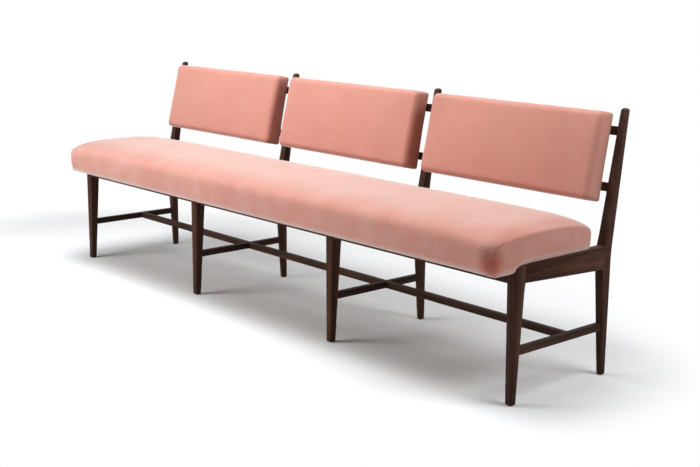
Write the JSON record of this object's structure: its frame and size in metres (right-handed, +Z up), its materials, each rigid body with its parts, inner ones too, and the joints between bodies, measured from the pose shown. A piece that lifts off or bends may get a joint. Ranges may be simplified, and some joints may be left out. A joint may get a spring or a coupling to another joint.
{
  "type": "upholstered bench",
  "caption": "Long upholstered bench with a leaning back of separate cushions, on a dark timber frame with tapered legs and stretchers.",
  "frame": {"origin": "bottom centre of the bench's box, on the floor", "axes": "+X along the bench, to the right for someone looking at its front; +Y from the seat's front to the back; +Z up"},
  "size_m": [2.375, 0.6014, 0.816],
  "materials": {
    "timber": "satin dark walnut",
    "pale_timber": "unfinished beech",
    "plywood": "unfinished plywood",
    "velvet": "salmon pink velvet",
    "foam": "open-cell polyurethane foam",
    "steel": "zinc-plated",
    "felt": "black felt"
  },
  "bodies": {
    "root": {"front_leg_1": "timber", "front_leg_2": "timber", "front_leg_3": "timber", "front_leg_4": "timber", "back_post_1": "timber", "back_post_2": "timber", "back_post_3": "timber", "back_post_4": "timber", "side_rail_1": "timber", "side_rail_2": "timber", "side_rail_3": "timber", "side_rail_4": "timber", "side_stretcher_1": "timber", "side_stretcher_2": "timber", "side_stretcher_3": "timber", "side_stretcher_4": "timber", "long_stretcher": "timber", "front_rail_1": "timber", "front_rail_2": "timber", "front_rail_3": "timber", "rear_rail_1": "timber", "rear_rail_2": "timber", "rear_rail_3": "timber", "lower_back_rail_1": "timber", "lower_back_rail_2": "timber", "lower_back_rail_3": "timber", "upper_back_rail_1": "timber", "upper_back_rail_2": "timber", "upper_back_rail_3": "timber", "corner_blocks_1": "pale_timber", "corner_blocks_2": "pale_timber", "corner_blocks_3": "pale_timber", "seat_board": "plywood", "seat_nosing": "pale_timber", "seat_foam": "foam", "seat_cover": "velvet", "back_panel_1": "plywood", "back_panel_2": "plywood", "back_panel_3": "plywood", "back_foam_1": "foam", "back_foam_2": "foam", "back_foam_3": "foam", "back_cover_1": "velvet", "back_cover_2": "velvet", "back_cover_3": "velvet", "back_lining_1": "velvet", "back_lining_2": "velvet", "back_lining_3": "velvet", "seat_screws": "steel", "back_screws": "steel", "foot_pads": "felt"}
  },
  "joints": []
}
